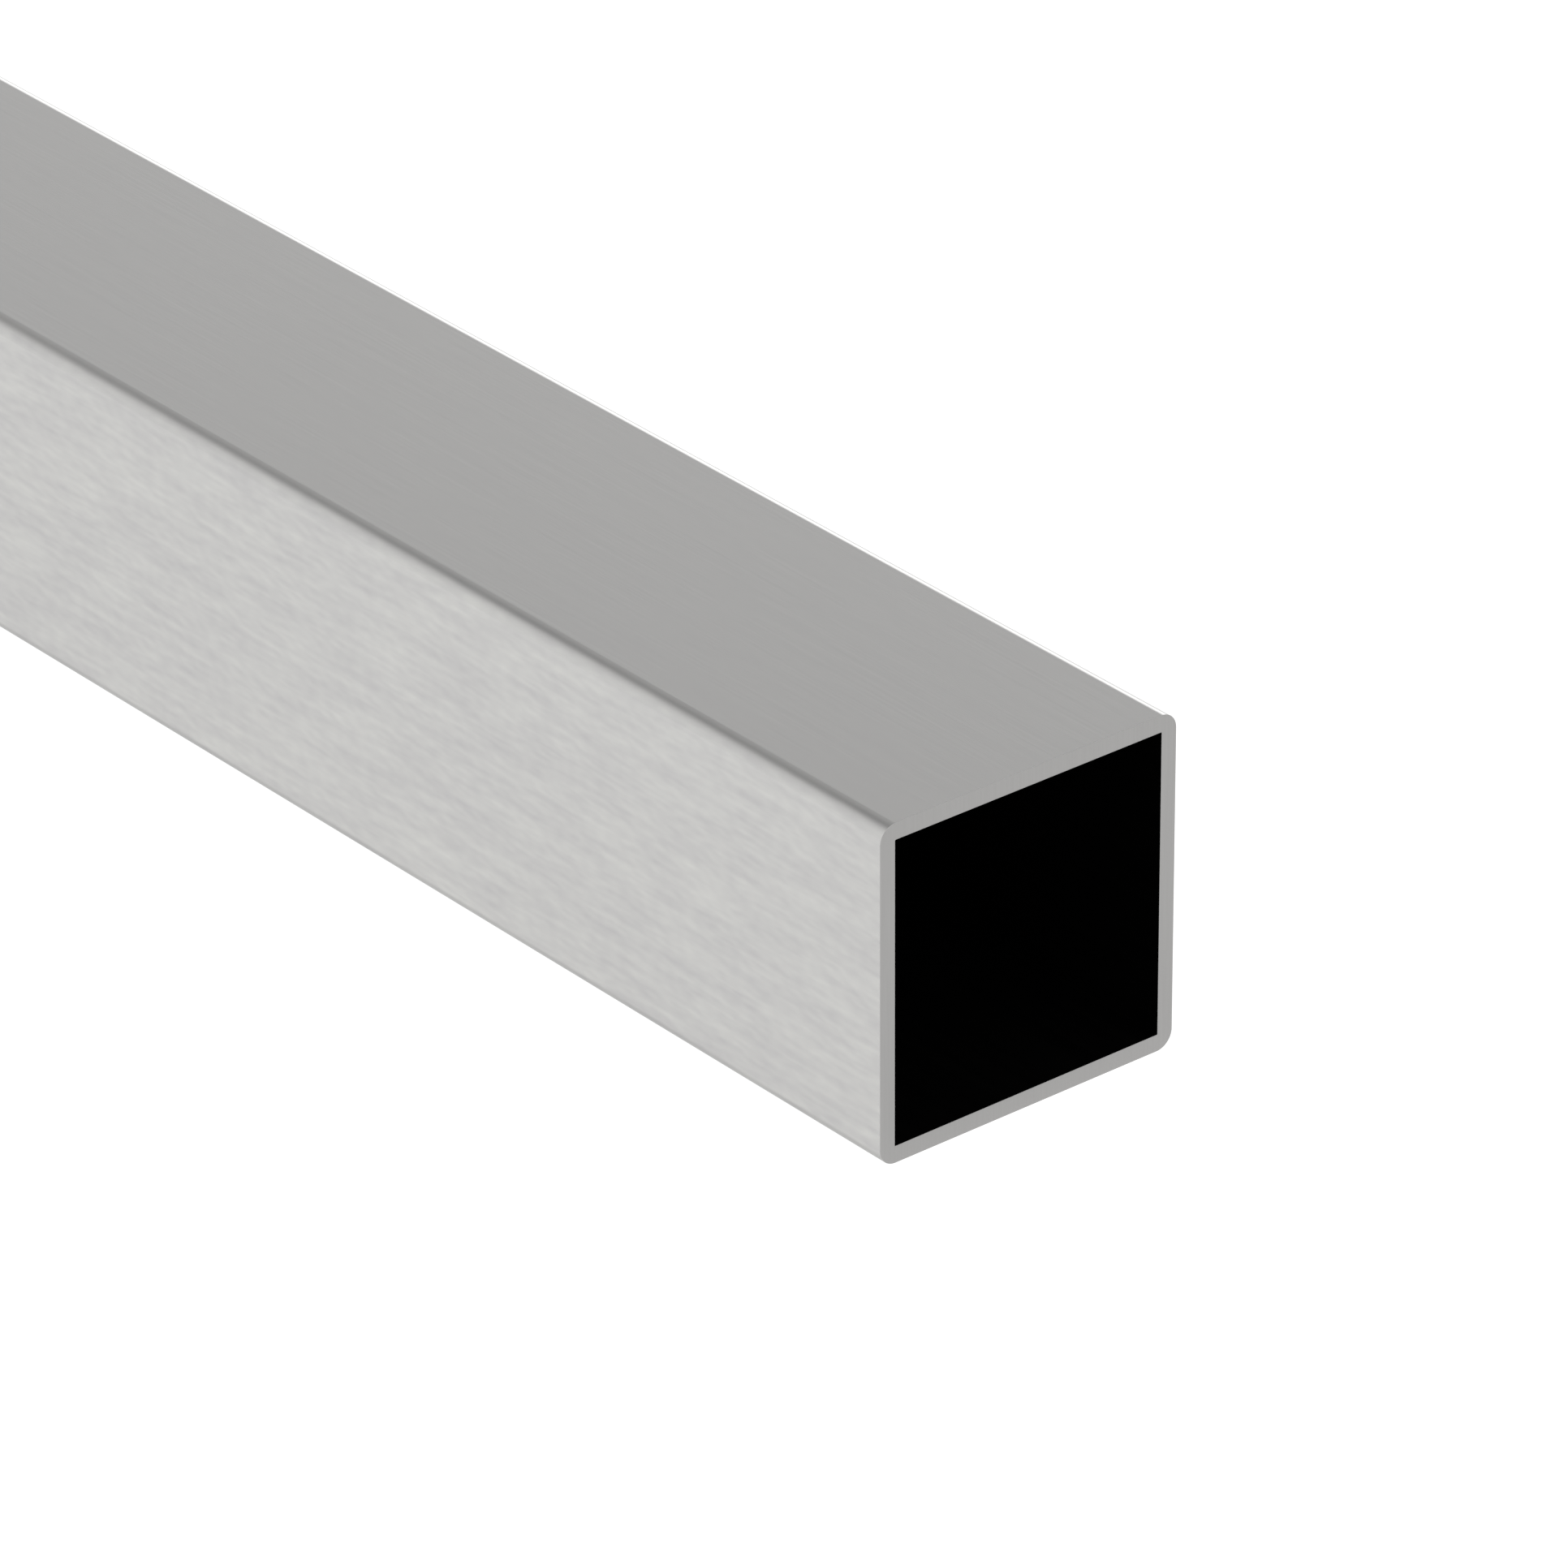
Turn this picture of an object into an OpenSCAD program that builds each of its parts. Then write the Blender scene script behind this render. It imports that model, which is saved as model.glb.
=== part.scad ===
// Square metal tube, one cut piece of stock lying on one of its flats.
// The origin is under the middle of the piece, on the plane it lies on, with the length along X.

/* [Section] */
// Outside width of the square section, across the flats
tube_w = 40; // [20:1:120]
// Wall thickness, the same on the flats and round the bends
wall_t = 2; // [1:0.1:6]
// Inside radius of the four long corners
bend_r = 0.1; // [0.05:0.05:3]

/* [Stock] */
// Length of the piece from cut end to cut end
tube_l = 1000; // [100:10:6000]

/* [Cut ends] */
// Width of the edge break that deburring leaves on both edges of each cut
deburr_w = 0.05; // [0.05:0.05:0.3]

/* [Hidden] */
// Outside radius of a long corner: the wall goes round the bend at its full thickness
corner_r = bend_r + wall_t;
// Width of the straight part of each wall, between two bends
flat_w = tube_w - 2 * corner_r;
steel = [0.76, 0.76, 0.75];
$fn = 64;

// The wall cut along the tube's length: x goes outwards through the thickness, y along the tube.
// Its four corners are the edge breaks of the two cut ends.
module wall_profile() {
    end_y = tube_l / 2;
    side_y = end_y - deburr_w;
    polygon([
        [0, -side_y],
        [deburr_w, -end_y],
        [wall_t - deburr_w, -end_y],
        [wall_t, -side_y],
        [wall_t, side_y],
        [wall_t - deburr_w, end_y],
        [deburr_w, end_y],
        [0, side_y]
    ]);
}

// One straight wall, on the +X side of a tube that stands along Z
module flat_wall() {
    rotate([90, 0, 0])
        linear_extrude(height = flat_w, center = true)
            translate([tube_w / 2 - wall_t, 0])
                wall_profile();
}

// The quarter-turn bend from the +X wall to the +Y wall, concentric inside and out
module bend() {
    translate([flat_w / 2, flat_w / 2, 0])
        rotate_extrude(angle = 90)
            translate([bend_r, 0])
                wall_profile();
}

// Four walls and four bends, joined into one closed section and laid down on a flat
module square_tube() {
    color(steel)
        translate([0, 0, tube_w / 2])
            rotate([0, 90, 0])
                for (side = [0:3])
                    rotate([0, 0, 90 * side]) {
                        flat_wall();
                        bend();
                    }
}

square_tube();
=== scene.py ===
"""Square metal tube, a cut piece of brushed stainless stock lying on a white floor.

The tube lies along X on one of its flats, with its origin under its middle. Lengths are in metres.
"""

import logging
import math
from abc import ABC, abstractmethod
from dataclasses import dataclass
from enum import Enum

import bpy
from mathutils import Matrix, Vector


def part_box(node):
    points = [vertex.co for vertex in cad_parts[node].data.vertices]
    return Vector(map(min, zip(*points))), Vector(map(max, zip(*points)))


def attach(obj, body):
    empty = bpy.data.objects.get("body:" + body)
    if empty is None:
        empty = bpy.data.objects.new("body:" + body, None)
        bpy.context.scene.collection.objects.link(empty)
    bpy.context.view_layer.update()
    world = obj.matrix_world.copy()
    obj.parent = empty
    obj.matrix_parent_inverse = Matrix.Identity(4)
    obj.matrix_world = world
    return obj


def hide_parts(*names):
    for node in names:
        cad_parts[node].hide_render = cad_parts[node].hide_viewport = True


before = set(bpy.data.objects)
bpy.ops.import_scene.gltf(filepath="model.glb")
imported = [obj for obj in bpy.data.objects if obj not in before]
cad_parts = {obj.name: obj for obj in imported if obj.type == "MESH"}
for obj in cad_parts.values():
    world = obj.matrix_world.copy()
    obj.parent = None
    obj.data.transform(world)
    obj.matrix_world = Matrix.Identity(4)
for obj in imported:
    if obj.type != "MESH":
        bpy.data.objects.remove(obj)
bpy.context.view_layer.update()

log = logging.getLogger("square_tube")

TUBE_NODE = "square_tube"
ROOT_BODY = "root"

MM = 0.001
QUARTER_TURN = math.radians(90)
WHITE = (1.0, 1.0, 1.0, 1.0)

# The value that a mask of lines swings round
MASK_MIDDLE = 0.5

# Sockets that Blender's Mix node uses when it mixes colours
MIX_FIRST, MIX_SECOND, MIX_RESULT = 6, 7, 2

Colour = tuple[float, float, float]

# What a node's input takes: the output that feeds it, or a plain value
SocketValue = bpy.types.NodeSocket | bpy.types.ID | Vector | tuple[float, ...] | float | int | bool


class Surface(Enum):
    """The kinds of surface that the tube has, by the name of their material."""

    OUTSIDE = "brushed_outside"
    # The bore's material is painted near-black: painted shade for the inside of the tube.
    BORE = "bore_painted_shade"
    EDGE = "broken_edge"
    CUT = "sawn_end"


class NodeSheet:
    """A node tree that is being written, with short calls to add and join its nodes."""

    def __init__(self, tree: bpy.types.NodeTree) -> None:
        """Starts on a geometry, shader or group tree, which keeps what it already has."""
        self.tree = tree

    @classmethod
    def cleared(cls, owner: bpy.types.Material | bpy.types.World) -> "NodeSheet":
        """Starts on the emptied tree of a material or a world.

        Args:
            owner: the material or the world.

        Returns:
            The sheet to write its nodes with.
        """
        owner.use_nodes = True
        owner.node_tree.nodes.clear()
        return cls(owner.node_tree)

    def add(self, kind: str, inputs: dict[str | int, SocketValue] | None = None,
            **settings: str | bpy.types.NodeTree) -> bpy.types.Node:
        """Adds a node, sets it up and feeds its inputs.

        Args:
            kind: Blender's type name of the node.
            inputs: for each input, by name or number, a plain value or the output that feeds it.
            **settings: properties of the node itself, such as its operation.

        Returns:
            The new node.
        """
        node = self.tree.nodes.new(kind)
        for name, value in settings.items():
            setattr(node, name, value)
        for socket, value in (inputs or {}).items():
            self.feed(node.inputs[socket], value)
        return node

    def feed(self, socket: bpy.types.NodeSocket, value: SocketValue) -> None:
        """Joins an output to a socket, or writes a plain value on it.

        Args:
            socket: the input socket.
            value: the output that feeds it, or a number, a vector, a colour or a material.
        """
        if isinstance(value, bpy.types.NodeSocket):
            self.tree.links.new(value, socket)
        else:
            socket.default_value = value

    def math(self, operation: str, *values: SocketValue) -> bpy.types.NodeSocket:
        """Works out a number with a Math node, whose operands are numbers or outputs."""
        return self.add("ShaderNodeMath", dict(enumerate(values)), operation=operation).outputs[0]

    def vector(self, operation: str, *values: SocketValue) -> bpy.types.NodeSocket:
        """Works out a vector with a Vector Math node, as math() does a number."""
        return self.add("ShaderNodeVectorMath", dict(enumerate(values)), operation=operation).outputs[0]

    def split(self, vector: bpy.types.NodeSocket) -> bpy.types.NodeOutputs:
        """Takes a vector apart, into the outputs X, Y and Z."""
        return self.add("ShaderNodeSeparateXYZ", {"Vector": vector}).outputs

    def ramp(self, value: SocketValue, low: float, high: float,
             at_low: float, at_high: float) -> bpy.types.NodeSocket:
        """Carries a value over from the range low..high to at_low..at_high, and holds it at the ends."""
        limits = {"From Min": low, "From Max": high, "To Min": at_low, "To Max": at_high}
        return self.add("ShaderNodeMapRange", {"Value": value, **limits}).outputs["Result"]

    def place(self) -> bpy.types.NodeSocket:
        """Gives the place on the object that wears the material, in the object's own coordinates."""
        return self.add("ShaderNodeTexCoord").outputs["Object"]

    def relief(self, height: bpy.types.NodeSocket, depth: float) -> bpy.types.NodeSocket:
        """Turns a mask into relief of the given depth, and gives the surface's normal."""
        return self.add("ShaderNodeBump", {"Height": height, "Distance": depth}).outputs[0]


@dataclass(frozen=True)
class TubeSection:
    """The stock's sizes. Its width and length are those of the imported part.

    Attributes:
        width: outside width, across the flats.
        length: length from cut end to cut end.
        wall: thickness of the wall.
        inside_bend: inside radius of the four long corners.
        edge_break: width of the edge break on both edges of a cut.
    """

    width: float
    length: float
    wall: float = 2.0 * MM
    inside_bend: float = 0.1 * MM
    edge_break: float = 0.05 * MM

    @classmethod
    def of_node(cls, node: str) -> "TubeSection":
        """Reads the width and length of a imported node, and takes the rest as this stock has it."""
        low, high = (Vector(corner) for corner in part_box(node))
        return cls(width=high.y - low.y, length=high.x - low.x)

    @property
    def half_flat(self) -> float:
        """Half the width of a flat side, up to where its bends start."""
        return self.width / 2 - self.inside_bend - self.wall


@dataclass(frozen=True)
class LineSet:
    """One set of lines on the metal.

    Attributes:
        length: how long a line is.
        width: how wide a line is.
        detail: how many finer layers lie on the lines.
        shift: moves the pattern, so that two sets don't match.
    """

    length: float
    width: float
    detail: float = 2.0
    shift: float = 0.0


@dataclass(frozen=True)
class GrainGroup:
    """The shader group that draws every set of lines: noise that is stretched along one axis.

    Attributes:
        name: the group's name.
        layer_share: how strong a finer layer is beside the one before it.
    """

    name: str = "line_grain"
    layer_share: float = 0.5

    def tree(self) -> bpy.types.NodeTree:
        """Builds the group once, and gives the same one after that.

        Returns:
            The group, which turns a place on the metal into a mask of lines.
        """
        if self.name in bpy.data.node_groups:
            return bpy.data.node_groups[self.name]
        group = bpy.data.node_groups.new(self.name, "ShaderNodeTree")
        face = group.interface
        face.new_socket("Place", in_out="INPUT", socket_type="NodeSocketVector")
        for name in ("Line Length", "Line Width", "Detail", "Contrast", "Shift"):
            face.new_socket(name, in_out="INPUT", socket_type="NodeSocketFloat")
        face.new_socket("Lines", in_out="OUTPUT", socket_type="NodeSocketFloat")
        sheet = NodeSheet(group)
        given = sheet.add("NodeGroupInput").outputs
        pitch = sheet.add("ShaderNodeCombineXYZ", {
            "X": given["Line Length"], "Y": given["Line Width"], "Z": given["Line Width"]}).outputs[0]
        stretched = sheet.vector("DIVIDE", given["Place"], pitch)
        shifted = sheet.vector("ADD", stretched, given["Shift"])
        noise = sheet.add("ShaderNodeTexNoise", {
            "Vector": shifted, "Scale": 1.0, "Detail": given["Detail"],
            "Roughness": self.layer_share}).outputs["Fac"]
        centred = sheet.math("SUBTRACT", noise, MASK_MIDDLE)
        lines = sheet.math("MULTIPLY_ADD", centred, given["Contrast"], MASK_MIDDLE)
        sheet.add("NodeGroupOutput", {"Lines": lines})
        return group

    def lines(self, sheet: NodeSheet, place: bpy.types.NodeSocket, pattern: LineSet,
              contrast: SocketValue = 1.0) -> bpy.types.NodeSocket:
        """Places the group in a material.

        Args:
            sheet: the material's node sheet.
            place: the output with the place on the metal, with the lines along its X.
            pattern: the set of lines to draw.
            contrast: how far the mask swings, as a number or an output.

        Returns:
            The mask's output.
        """
        return sheet.add("ShaderNodeGroup", {
            "Place": place, "Line Length": pattern.length, "Line Width": pattern.width,
            "Detail": pattern.detail, "Contrast": contrast, "Shift": pattern.shift},
            node_tree=self.tree()).outputs["Lines"]


@dataclass(frozen=True)
class Tone:
    """The darkest and the lightest colour that one finish has."""

    dark: Colour
    light: Colour

    def mixed(self, sheet: NodeSheet, mask: bpy.types.NodeSocket) -> bpy.types.NodeSocket:
        """Mixes the two colours by a mask.

        Args:
            sheet: the material's node sheet.
            mask: the output that is 0 where the metal is dark and 1 where it is light.

        Returns:
            The colour's output.
        """
        return sheet.add("ShaderNodeMix", {
            "Factor": mask, MIX_FIRST: (*self.dark, 1), MIX_SECOND: (*self.light, 1)},
            data_type="RGBA").outputs[MIX_RESULT]


@dataclass(frozen=True)
class Finish(ABC):
    """What the finishes share.

    Attributes:
        surface: the surface that wears the finish.
        tone: its darkest and lightest colour.
        roughness: how rough it is, from 0 to 1.
        grain: the group that draws its lines.
    """

    surface: Surface
    tone: Tone
    roughness: float
    grain: GrainGroup = GrainGroup()

    def material(self, section: TubeSection) -> bpy.types.Material:
        """Builds the finish's material.

        Args:
            section: the tube's sizes.

        Returns:
            The finished material.
        """
        material = bpy.data.materials.new(self.surface.value)
        sheet = NodeSheet.cleared(material)
        shader = sheet.add("ShaderNodeBsdfPrincipled")
        sheet.add("ShaderNodeOutputMaterial", {"Surface": shader.outputs[0]})
        self.draw(sheet, shader, section)
        return material

    @abstractmethod
    def draw(self, sheet: NodeSheet, shader: bpy.types.Node, section: TubeSection) -> None:
        """Feeds the shader, in each finish's own way.

        Args:
            sheet: the material's node sheet.
            shader: its Principled shader.
            section: the tube's sizes.
        """


@dataclass(frozen=True)
class BrushedFinish(Finish):
    """The belt-brushed outside: satin, with streaks that show on the upright sides.

    Attributes:
        streaks: the long soft streaks that the belt leaves.
        nicks: the short flecks that break them up.
        hairs: the fine lines that catch the light as relief.
        nick_share: how strong the nicks are beside the streaks.
        hair_depth: how deep the hairs go.
        side_contrast: how strongly the brushing shows on the upright sides.
        top_contrast: how strongly it shows on the top and the underside.
        roughness_swing: how much rougher a dark streak is than a light one.
    """

    surface: Surface = Surface.OUTSIDE
    tone: Tone = Tone(dark=(0.523, 0.515, 0.518), light=(0.662, 0.661, 0.638))
    roughness: float = 0.20
    streaks: LineSet = LineSet(length=8.8 * MM, width=1.2 * MM)
    nicks: LineSet = LineSet(length=1.8 * MM, width=0.8 * MM, detail=0.0, shift=3.0)
    hairs: LineSet = LineSet(length=22.0 * MM, width=0.4 * MM, detail=1.0, shift=7.0)
    nick_share: float = 0.40
    hair_depth: float = 0.004 * MM
    side_contrast: float = 1.05
    top_contrast: float = 0.18
    roughness_swing: float = 0.05

    def draw(self, sheet: NodeSheet, shader: bpy.types.Node, section: TubeSection) -> None:
        """Draws streaks and nicks into the colour and roughness, and hairs into the bump.

        Args:
            sheet: the material's node sheet.
            shader: its Principled shader.
            section: the tube's sizes.
        """
        place = sheet.place()
        across = sheet.math("ABSOLUTE", sheet.split(place)["Y"])
        contrast = sheet.ramp(across, section.half_flat, section.width / 2,
                              self.top_contrast, self.side_contrast)
        streaks = self.grain.lines(sheet, place, self.streaks, contrast)
        faint = sheet.math("MULTIPLY", contrast, self.nick_share)
        nicks = self.grain.lines(sheet, place, self.nicks, faint)
        brushing = sheet.math("SUBTRACT", sheet.math("ADD", streaks, nicks), MASK_MIDDLE)
        sheet.feed(shader.inputs["Base Color"], self.tone.mixed(sheet, brushing))
        roughest = self.roughness + self.roughness_swing / 2
        roughness = sheet.math("MULTIPLY_ADD", brushing, -self.roughness_swing, roughest)
        sheet.feed(shader.inputs["Roughness"], roughness)
        hairs = self.grain.lines(sheet, place, self.hairs)
        sheet.feed(shader.inputs["Normal"], sheet.relief(hairs, self.hair_depth))
        shader.inputs["Metallic"].default_value = 1.0


@dataclass(frozen=True)
class SawnFinish(Finish):
    """The sawn ends: duller and darker than the brushing, with fine lines across the cut.

    Attributes:
        marks: the lines that the saw leaves.
        mark_depth: how deep they go.
    """

    surface: Surface = Surface.CUT
    tone: Tone = Tone(dark=(0.402, 0.397, 0.391), light=(0.448, 0.443, 0.437))
    roughness: float = 0.45
    marks: LineSet = LineSet(length=12.0 * MM, width=0.25 * MM)
    mark_depth: float = 0.004 * MM

    def draw(self, sheet: NodeSheet, shader: bpy.types.Node, section: TubeSection) -> None:
        """Draws the saw's lines upright across the cut, into the colour and the bump.

        Args:
            sheet: the material's node sheet.
            shader: its Principled shader.
            section: the tube's sizes; not used.
        """
        upright = sheet.add("ShaderNodeMapping", {
            "Vector": sheet.place(), "Rotation": (0, QUARTER_TURN, 0)}).outputs[0]
        marks = self.grain.lines(sheet, upright, self.marks)
        sheet.feed(shader.inputs["Base Color"], self.tone.mixed(sheet, marks))
        sheet.feed(shader.inputs["Normal"], sheet.relief(marks, self.mark_depth))
        shader.inputs["Roughness"].default_value = self.roughness
        shader.inputs["Metallic"].default_value = 1.0


@dataclass(frozen=True)
class EdgeFinish(SawnFinish):
    """The broken edges of a cut: rubbed a little brighter, and lightened further as a painted highlight
    along the edge, without the relief of the saw's lines.
    """

    surface: Surface = Surface.EDGE
    # The lighter tone is partly rubbed metal and partly a painted highlight along the edge.
    tone: Tone = Tone(dark=(0.462, 0.457, 0.450), light=(0.500, 0.495, 0.488))
    mark_depth: float = 0.0


@dataclass(frozen=True)
class BorePaintedShade(Finish):
    """The inside: unbrushed, and painted near-black as painted shade for the hollow, so that it shows
    next to nothing.

    Attributes:
        marks: the lines that drawing the tube leaves.
    """

    surface: Surface = Surface.BORE
    # The near-black tone is painted shade, not the colour of the steel inside.
    tone: Tone = Tone(dark=(0.0007, 0.0007, 0.0008), light=(0.0026, 0.0025, 0.0023))
    roughness: float = 0.9
    marks: LineSet = LineSet(length=30.0 * MM, width=1.5 * MM)

    def draw(self, sheet: NodeSheet, shader: bpy.types.Node, section: TubeSection) -> None:
        """Draws the marks into the near-black colour of painted shade, and takes the gloss away.

        Args:
            sheet: the material's node sheet.
            shader: its Principled shader.
            section: the tube's sizes; not used.
        """
        marks = self.grain.lines(sheet, sheet.place(), self.marks)
        sheet.feed(shader.inputs["Base Color"], self.tone.mixed(sheet, marks))
        shader.inputs["Roughness"].default_value = self.roughness
        shader.inputs["Specular IOR Level"].default_value = 0.0


@dataclass(frozen=True)
class SquareTube:
    """The tube: its wall's section swept round the square and its bends.

    Attributes:
        section: the stock's sizes.
        bend_steps: how many steps a bend has.
        break_steps: how many steps an edge break has.
        sharp_angle: the angle from which an edge stays sharp.
        flat_weight: how far the large flat faces rule the shading beside them, from 1 to 100.
        cut_zone: how near the end the faces of the cut lie, as a share of the edge break.
        finishes: the finish of each surface.
    """

    section: TubeSection
    bend_steps: int = 16
    break_steps: int = 1
    sharp_angle: float = math.radians(30)
    flat_weight: int = 100
    cut_zone: float = 0.25
    finishes: tuple[Finish, ...] = (BrushedFinish(), BorePaintedShade(), SawnFinish(), EdgeFinish())

    @property
    def tree_inputs(self) -> dict[str, float | int]:
        """Names the inputs of the sweep's tree, in their order.

        Returns:
            The value of each input, by its name.
        """
        return {
            "Width": self.section.width, "Length": self.section.length, "Wall": self.section.wall,
            "Inside Bend": self.section.inside_bend, "Edge Break": self.section.edge_break,
            "Bend Steps": self.bend_steps, "Break Steps": self.break_steps,
            "Sharp Angle": self.sharp_angle, "Cut Zone": self.cut_zone}

    def sweep_tree(self, materials: dict[Surface, bpy.types.Material]) -> bpy.types.NodeTree:
        """Writes the tree that makes the tube from its sizes.

        Args:
            materials: the material of each surface.

        Returns:
            A geometry tree with one input for each size.
        """
        tree = bpy.data.node_groups.new("tube_sweep", "GeometryNodeTree")
        for name, value in self.tree_inputs.items():
            kind = "NodeSocketInt" if isinstance(value, int) else "NodeSocketFloat"
            tree.interface.new_socket(name, in_out="INPUT", socket_type=kind)
        tree.interface.new_socket("Tube", in_out="OUTPUT", socket_type="NodeSocketGeometry")
        sheet = NodeSheet(tree)
        given = sheet.add("NodeGroupInput").outputs
        wall = self.swept_wall(sheet, given)
        smooth = self.smoothed(sheet, given, wall)
        dressed = self.dressed(sheet, given, smooth, materials)
        sheet.add("NodeGroupOutput", {"Tube": dressed})
        return tree

    def swept_wall(self, sheet: NodeSheet, given: bpy.types.NodeOutputs) -> bpy.types.NodeSocket:
        """Sweeps the wall's section round the inside square, and lays the tube down along X.

        Args:
            sheet: the tree's sheet.
            given: the tree's inputs.

        Returns:
            The output that holds the closed mesh.
        """
        inside = sheet.math("MULTIPLY_ADD", given["Wall"], -2.0, given["Width"])
        square = sheet.add("GeometryNodeCurvePrimitiveQuadrilateral", {
            "Width": inside, "Height": inside})
        bends = sheet.add("GeometryNodeFilletCurve", {
            "Curve": square.outputs[0], "Count": given["Bend Steps"],
            "Radius": given["Inside Bend"]}, mode="POLY")
        around = sheet.add("GeometryNodeSetCurveNormal", {"Curve": bends.outputs[0]}, mode="Z_UP")
        wall = sheet.add("GeometryNodeCurvePrimitiveQuadrilateral", {
            "Width": given["Wall"], "Height": given["Length"]})
        broken = sheet.add("GeometryNodeFilletCurve", {
            "Curve": wall.outputs[0], "Count": given["Break Steps"],
            "Radius": given["Edge Break"]}, mode="POLY")
        half_wall = sheet.math("MULTIPLY", given["Wall"], 0.5)
        outwards = sheet.add("ShaderNodeCombineXYZ", {"X": half_wall}).outputs[0]
        profile = sheet.add("GeometryNodeTransform", {
            "Geometry": broken.outputs[0], "Translation": outwards})
        swept = sheet.add("GeometryNodeCurveToMesh", {
            "Curve": around.outputs[0], "Profile Curve": profile.outputs[0]})
        half_width = sheet.math("MULTIPLY", given["Width"], 0.5)
        up = sheet.add("ShaderNodeCombineXYZ", {"Z": half_width}).outputs[0]
        laid = sheet.add("GeometryNodeTransform", {
            "Geometry": swept.outputs[0], "Translation": up, "Rotation": (0, QUARTER_TURN, 0)})
        return laid.outputs[0]

    def smoothed(self, sheet: NodeSheet, given: bpy.types.NodeOutputs,
                 mesh: bpy.types.NodeSocket) -> bpy.types.NodeSocket:
        """Shades the bends smooth and keeps the broken edges sharp.

        Args:
            sheet: the tree's sheet.
            given: the tree's inputs.
            mesh: the output with the bare mesh.

        Returns:
            The output that holds the mesh with its edges marked.
        """
        angle = sheet.add("GeometryNodeInputMeshEdgeAngle").outputs["Unsigned Angle"]
        soft = sheet.math("LESS_THAN", angle, given["Sharp Angle"])
        faces = sheet.add("GeometryNodeSetShadeSmooth", {"Geometry": mesh}, domain="FACE")
        edges = sheet.add("GeometryNodeSetShadeSmooth", {
            "Geometry": faces.outputs[0], "Shade Smooth": soft}, domain="EDGE")
        return edges.outputs[0]

    def dressed(self, sheet: NodeSheet, given: bpy.types.NodeOutputs, mesh: bpy.types.NodeSocket,
                materials: dict[Surface, bpy.types.Material]) -> bpy.types.NodeSocket:
        """Gives each surface its material, by where its faces lie.

        Args:
            sheet: the tree's sheet.
            given: the tree's inputs.
            mesh: the output with the mesh.
            materials: the material of each surface.

        Returns:
            The output that holds the finished mesh.
        """
        middle = sheet.math("MULTIPLY", given["Width"], 0.5)
        place = sheet.split(sheet.add("GeometryNodeInputPosition").outputs[0])
        along = sheet.math("ABSOLUTE", place["X"])
        across = sheet.math("ABSOLUTE", place["Y"])
        upright = sheet.math("ABSOLUTE", sheet.math("SUBTRACT", place["Z"], middle))
        mid_wall = sheet.math("MULTIPLY_ADD", given["Wall"], -0.5, middle)
        is_bore = sheet.math("LESS_THAN", sheet.math("MAXIMUM", across, upright), mid_wall)
        from_end = sheet.math("SUBTRACT", sheet.math("MULTIPLY", given["Length"], 0.5), along)
        is_edge = sheet.math("LESS_THAN", from_end, given["Edge Break"])
        cut_depth = sheet.math("MULTIPLY", given["Edge Break"], given["Cut Zone"])
        is_cut = sheet.math("LESS_THAN", from_end, cut_depth)
        # Where two choices overlap, the later surface has the face
        chosen = {
            Surface.OUTSIDE: True, Surface.BORE: is_bore,
            Surface.EDGE: is_edge, Surface.CUT: is_cut}
        real = sheet.add("GeometryNodeRealizeInstances", {"Geometry": mesh}).outputs[0]
        for surface, where in chosen.items():
            real = sheet.add("GeometryNodeSetMaterial", {
                "Geometry": real, "Selection": where, "Material": materials[surface]}).outputs[0]
        return real

    def plain_mesh(self, materials: dict[Surface, bpy.types.Material]) -> bpy.types.Mesh:
        """Runs the tree on an empty object, and keeps the mesh that comes out.

        Args:
            materials: the material of each surface.

        Returns:
            The tube's mesh, dressed and with its shading worked out.
        """
        maker = bpy.data.objects.new("tube_maker", bpy.data.meshes.new("tube_maker"))
        bpy.context.collection.objects.link(maker)
        tree = self.sweep_tree(materials)
        sweep = maker.modifiers.new("sweep", "NODES")
        sweep.node_group = tree
        for item in tree.interface.items_tree:
            if item.in_out == "INPUT":
                sweep[item.identifier] = self.tree_inputs[item.name]
        true_normals = maker.modifiers.new("true_normals", "WEIGHTED_NORMAL")
        true_normals.keep_sharp = True
        true_normals.weight = self.flat_weight
        seen = maker.evaluated_get(bpy.context.evaluated_depsgraph_get())
        mesh = bpy.data.meshes.new_from_object(seen)
        bpy.data.objects.remove(maker)
        mesh.name = "tube"
        return mesh

    def build(self) -> bpy.types.Object:
        """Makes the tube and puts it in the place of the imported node.

        Returns:
            The finished piece.
        """
        materials = {finish.surface: finish.material(self.section) for finish in self.finishes}
        piece = bpy.data.objects.new("tube", self.plain_mesh(materials))
        bpy.context.collection.objects.link(piece)
        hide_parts(TUBE_NODE)
        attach(piece, ROOT_BODY)
        return piece


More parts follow.
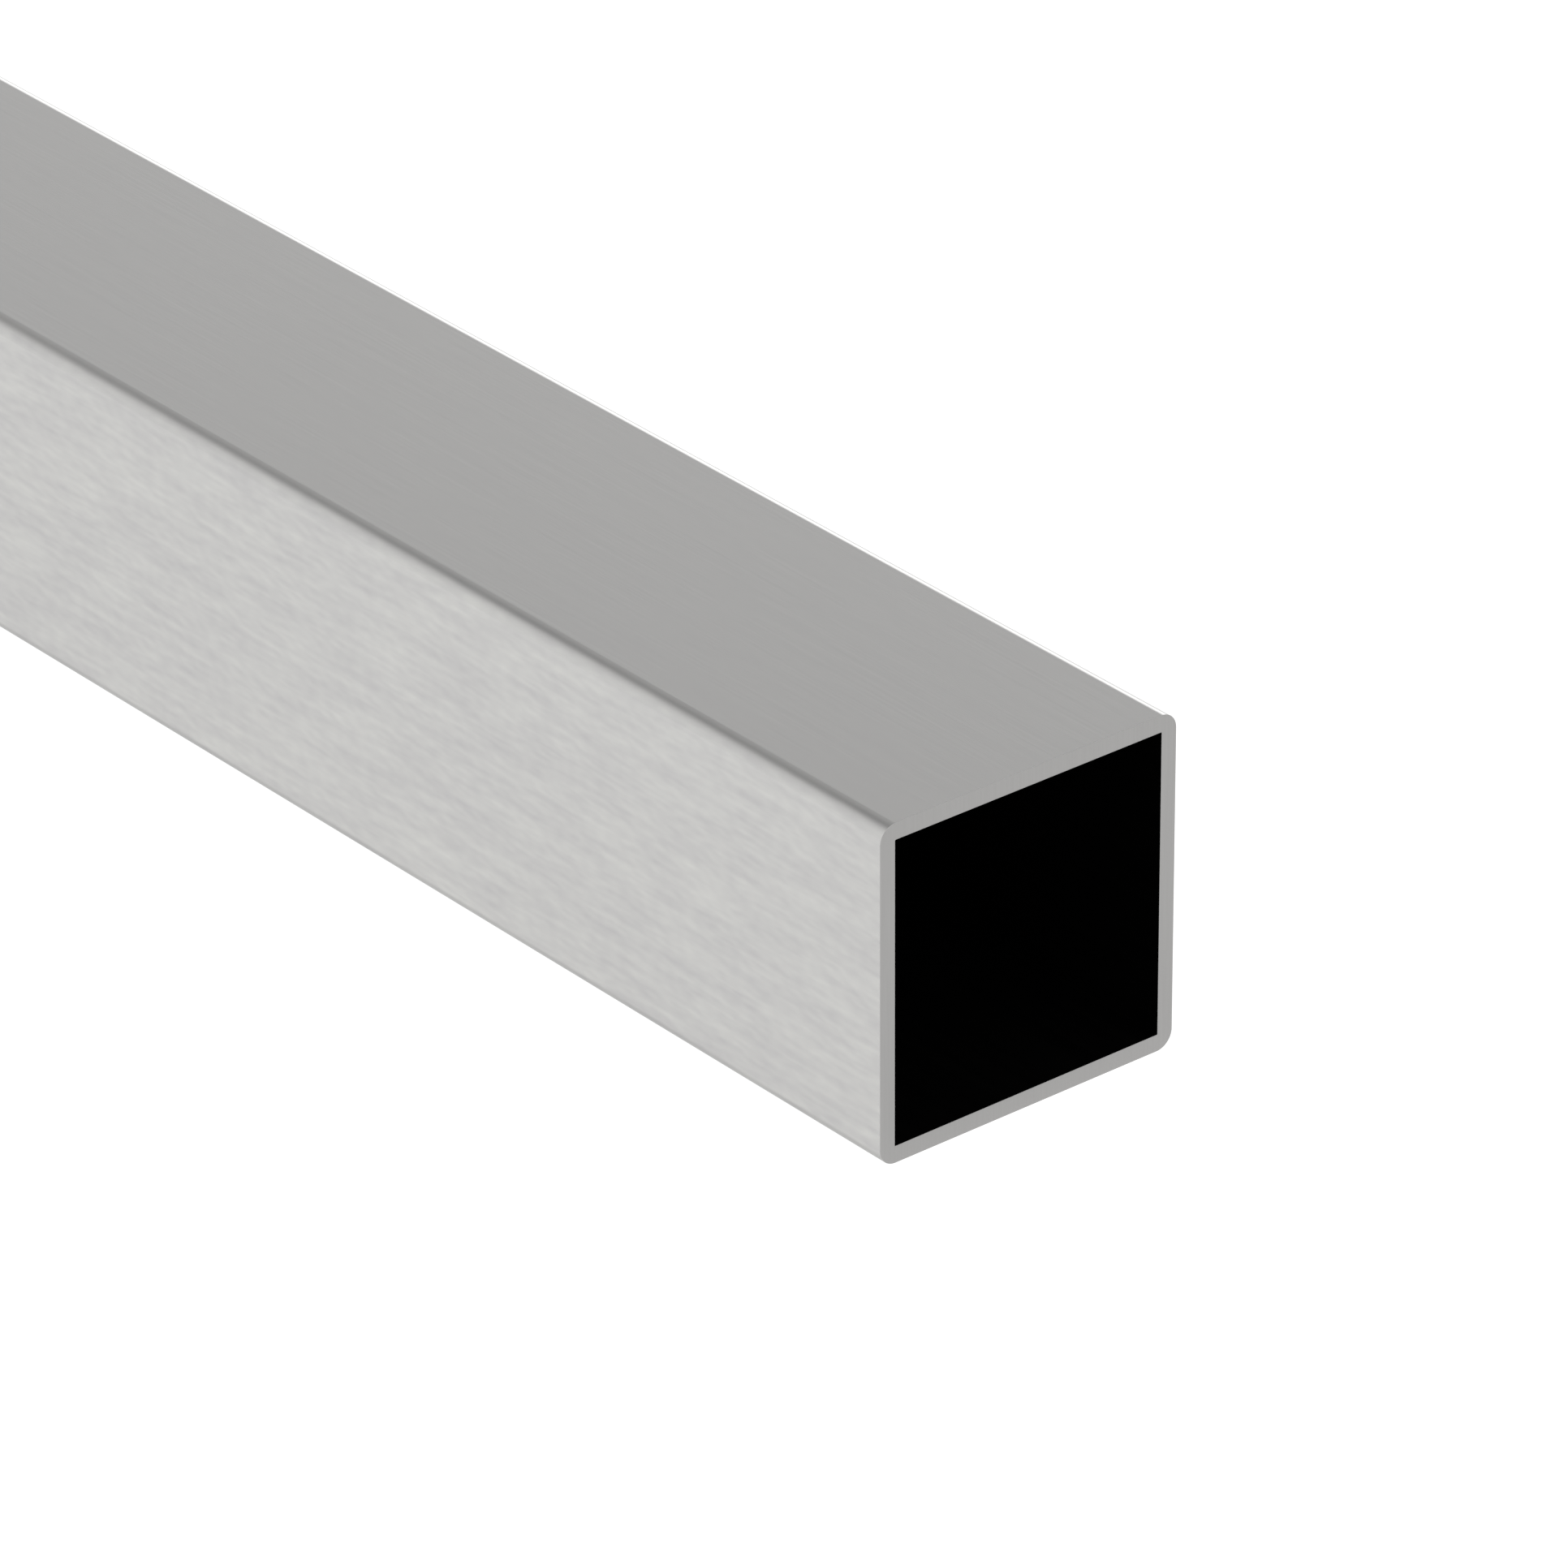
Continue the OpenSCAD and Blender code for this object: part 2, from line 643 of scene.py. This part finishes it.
@dataclass(frozen=True)
class PhotoCamera:
    """The picture's camera, as solved from the tube's edges.

    Attributes:
        picture: width of the square picture in pixels.
        focal: focal length in pixels.
        azimuth: how far it is turned round the tube's end, in degrees.
        elevation: how far it looks down, in degrees.
        roll: how far it leans, in degrees.
        target: pixel where the middle of the near cut end lies.
        distance: depth from the camera to that point, in widths of the tube.
        film: width of the film, in the lens's millimetres.
        nearest: how near a thing may come and still show.
        farthest: how far off it may lie.
    """

    picture: float = 1932.0
    focal: float = 13139.0
    azimuth: float = 50.594
    elevation: float = 28.492
    roll: float = -0.279
    target: tuple[float, float] = (1267.55, 1157.15)
    distance: float = 27.505
    film: float = 36.0
    nearest: float = 0.01
    farthest: float = 200.0

    def build(self, section: TubeSection) -> bpy.types.Object:
        """Sets the camera up on the tube's near end.

        Args:
            section: the tube's sizes.

        Returns:
            The camera, which is the scene's own.
        """
        azimuth, elevation, roll = (math.radians(x) for x in (self.azimuth, self.elevation, self.roll))
        level = Vector((math.cos(azimuth), math.sin(azimuth), 0))
        back = Vector((math.sin(azimuth), -math.cos(azimuth), 0)) * math.cos(elevation)
        back.z = math.sin(elevation)
        turned = Matrix.Rotation(roll, 3, back)
        axes = Matrix((turned @ level, turned @ back.cross(level), back)).transposed()
        depth = self.distance * section.width
        aside, below = ((at - self.picture / 2) / self.focal * depth for at in self.target)
        near_end = Vector((section.length / 2, 0, section.width / 2))
        place = near_end + axes @ Vector((-aside, below, depth))
        lens = bpy.data.cameras.new("camera")
        lens.sensor_width = self.film
        lens.lens = self.focal / self.picture * self.film
        lens.clip_start = self.nearest
        lens.clip_end = self.farthest
        camera = bpy.data.objects.new("camera", lens)
        camera.matrix_world = Matrix.Translation(place) @ axes.to_4x4()
        bpy.context.collection.objects.link(camera)
        bpy.context.scene.camera = camera
        return camera


@dataclass(frozen=True)
class SoftSpot:
    """A soft round place in the dome that is darker or brighter than the rest of it.

    Attributes:
        towards: direction from the tube to the spot's middle.
        change: what the middle adds to the dome's strength, less than 0 for a dark flag.
        tightness: how fast the spot fades out to its sides.
    """

    towards: tuple[float, float, float]
    change: float
    tightness: float

    def strength(self, sheet: NodeSheet, direction: bpy.types.NodeSocket) -> bpy.types.NodeSocket:
        """Works out what the spot adds in a direction.

        Args:
            sheet: the world's node sheet.
            direction: the output with the direction that is looked in.

        Returns:
            The output that holds the added strength.
        """
        facing = sheet.add("ShaderNodeVectorMath", {
            0: direction, 1: Vector(self.towards).normalized()}, operation="DOT_PRODUCT").outputs["Value"]
        aside = sheet.math("SUBTRACT", 1.0, facing)
        fade = sheet.math("EXPONENT", sheet.math("MULTIPLY", aside, -self.tightness))
        return sheet.math("MULTIPLY", fade, self.change)


@dataclass(frozen=True)
class Studio:
    """A white floor under an even dome, with dark flags overhead and a low light behind the tube.

    Attributes:
        dome: how brightly the even dome shines.
        floor_size: width of the floor.
        floor_seen: how brightly the floor glows to the camera.
        floor_shone: how brightly it glows to what reflects it.
        floor_colour: its own colour, which the dome lights and the tube shades.
        foot_reach: how far from the tube's foot the floor's glow is shaded.
        foot_depth: how much of the reflected glow is lost right at the foot.
        end_reach: how far in front of a cut end the floor's glow is raised.
        end_lift: how much the reflected glow gains right at the end, for what the end shades.
        top_flag: the wide dark cloth over the tube, which shades its top and its front bend.
        bend_flag: a narrow one beside it, which draws the dark line along the front bend.
        side_flags: smaller ones round it, which shade the top as it is seen from the other sides.
        backlight: the low light that the far bend catches.
    """

    dome: float = 1.0
    floor_size: float = 60.0
    floor_seen: float = 0.95
    floor_shone: float = 0.795
    floor_colour: Colour = (0.25, 0.25, 0.25)
    foot_reach: float = 1.2 * MM
    foot_depth: float = 0.30
    end_reach: float = 8.0 * MM
    end_lift: float = 0.07
    top_flag: SoftSpot = SoftSpot(towards=(-0.594, 0.434, 0.677), change=-0.507, tightness=2.84)
    bend_flag: SoftSpot = SoftSpot(towards=(-0.617, -0.043, 0.786), change=-0.256, tightness=24.5)
    side_flags: tuple[SoftSpot, ...] = (
        SoftSpot(towards=(0.75, -0.60, 0.28), change=-0.40, tightness=15.0),
        SoftSpot(towards=(0.75, 0.60, 0.28), change=-0.40, tightness=15.0))
    backlight: SoftSpot = SoftSpot(towards=(-0.708, 0.692, 0.143), change=1.5, tightness=61.6)

    def build(self, section: TubeSection) -> None:
        """Makes the floor and the dome, and sets how the render is shown.

        Args:
            section: the tube's sizes, for the shade round its foot.
        """
        self.build_floor(section)
        self.build_dome()
        bpy.context.scene.view_settings.view_transform = "Standard"

    def build_floor(self, section: TubeSection) -> None:
        """Makes the floor, a single wide face under the tube.

        Args:
            section: the tube's sizes.
        """
        half = self.floor_size / 2
        corners = [(-half, -half, 0), (half, -half, 0), (half, half, 0), (-half, half, 0)]
        mesh = bpy.data.meshes.new("floor")
        mesh.from_pydata(corners, [], [(0, 1, 2, 3)])
        mesh.materials.append(self.floor_material(section))
        floor = bpy.data.objects.new("floor", mesh)
        bpy.context.collection.objects.link(floor)

    def floor_material(self, section: TubeSection) -> bpy.types.Material:
        """Makes the floor glow nearly white, and keeps the tube's soft shadow in what reflects it.

        Args:
            section: the tube's sizes.

        Returns:
            The floor's material.
        """
        material = bpy.data.materials.new("floor")
        sheet = NodeSheet.cleared(material)
        path = sheet.add("ShaderNodeLightPath").outputs
        seen = sheet.math("MULTIPLY", path["Is Camera Ray"], self.floor_seen)
        shone = sheet.math("MAXIMUM", path["Is Glossy Ray"], path["Is Transmission Ray"])
        bright = sheet.math("MULTIPLY", self.lit_foot(sheet, section), self.floor_shone)
        glow = sheet.math("MULTIPLY_ADD", shone, bright, seen)
        light = sheet.add("ShaderNodeEmission", {"Strength": glow})
        matt = sheet.add("ShaderNodeBsdfDiffuse", {"Color": (*self.floor_colour, 1)})
        both = sheet.add("ShaderNodeAddShader", {0: light.outputs[0], 1: matt.outputs[0]})
        sheet.add("ShaderNodeOutputMaterial", {"Surface": both.outputs[0]})
        return material

    def lit_foot(self, sheet: NodeSheet, section: TubeSection) -> bpy.types.NodeSocket:
        """Works out the share of the floor's glow that is left round the tube's foot.

        Beside the tube its foot shades the floor. In front of the cut ends the glow is raised, so
        that the lower rim of a cut is as light as the rest of it.

        Args:
            sheet: the floor's node sheet.
            section: the tube's sizes.

        Returns:
            The output that holds the share, which is 1 away from the tube.
        """
        place = sheet.split(sheet.place())
        past_end = sheet.math("SUBTRACT", sheet.math("ABSOLUTE", place["X"]), section.length / 2)
        past_side = sheet.math("SUBTRACT", sheet.math("ABSOLUTE", place["Y"]), section.width / 2)
        gap = sheet.math("MAXIMUM", past_end, past_side)
        beside = sheet.ramp(gap, 0.0, self.foot_reach, 1.0 - self.foot_depth, 1.0)
        before = sheet.ramp(gap, 0.0, self.end_reach, 1.0 + self.end_lift, 1.0)
        is_before = sheet.math("GREATER_THAN", past_end, past_side)
        change = sheet.math("SUBTRACT", before, beside)
        return sheet.math("MULTIPLY_ADD", is_before, change, beside)

    def build_dome(self) -> None:
        """Makes the dome: white to the camera, and with the flags and the light to what reflects it."""
        world = bpy.data.worlds.new("studio")
        bpy.context.scene.world = world
        sheet = NodeSheet.cleared(world)
        direction = sheet.add("ShaderNodeTexCoord").outputs["Generated"]
        spots = self.backlight.strength(sheet, direction)
        for flag in (self.top_flag, self.bend_flag, *self.side_flags):
            spots = sheet.math("ADD", spots, flag.strength(sheet, direction))
        unseen = sheet.math("SUBTRACT", 1.0, sheet.add("ShaderNodeLightPath").outputs["Is Camera Ray"])
        strength = sheet.math("MULTIPLY_ADD", spots, unseen, self.dome)
        light = sheet.add("ShaderNodeBackground", {"Color": WHITE, "Strength": strength})
        sheet.add("ShaderNodeOutputWorld", {"Surface": light.outputs[0]})


def main() -> None:
    """Builds the tube, the studio and the camera."""
    logging.basicConfig(level=logging.INFO, format="%(name)s: %(message)s")
    section = TubeSection.of_node(TUBE_NODE)
    log.info("section %s", section)
    tube = SquareTube(section).build()
    log.info("%s: %d faces", tube.name, len(tube.data.polygons))
    Studio().build(section)
    log.info("studio: floor and dome")
    camera = PhotoCamera().build(section)
    log.info("%s: lens %.1f mm", camera.name, camera.data.lens)


if __name__ == "__main__":
    main()
